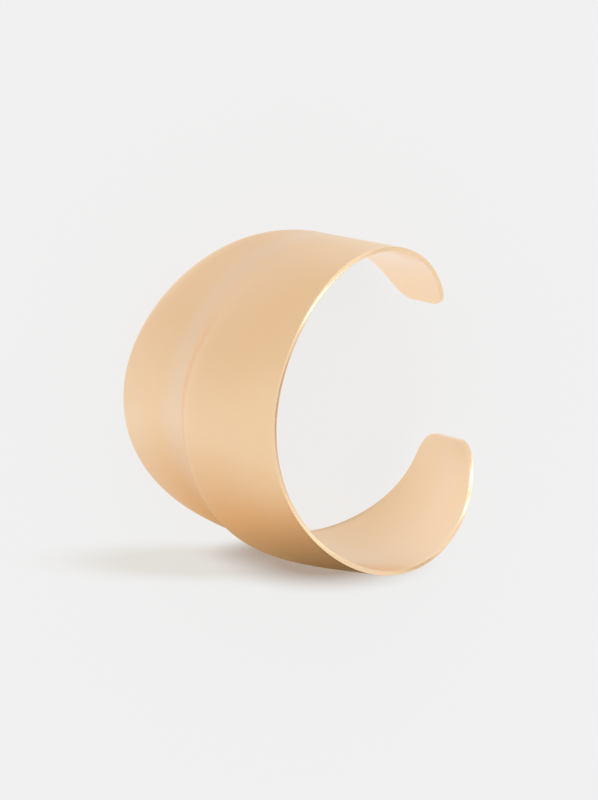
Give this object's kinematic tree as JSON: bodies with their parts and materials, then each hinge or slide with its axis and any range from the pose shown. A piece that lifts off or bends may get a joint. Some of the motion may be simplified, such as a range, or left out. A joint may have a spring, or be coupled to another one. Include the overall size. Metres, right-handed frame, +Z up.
{
  "type": "cuff bracelet",
  "caption": "Wide open cuff bracelet in gold-coloured sheet metal, with lobes pressed along its back and arms that taper to rounded tips; slips over the wrist sideways.",
  "frame": {"origin": "on the table, below the middle of the cuff's box, as the cuff rests on its lower edge", "axes": "+Z up from the table, +X from the cuff's back to its opening, +Y towards one arm; the arms mirror each other across y = 0. The cuff's own axis, along which it is wide, leans 20 degrees from +Z towards +X."},
  "size_m": [0.0618, 0.0606, 0.0568],
  "materials": {
    "satin_gold": "satin brushed gold plate over brass, with polished edges"
  },
  "bodies": {
    "root": {"cuff": "satin_gold"}
  },
  "joints": []
}
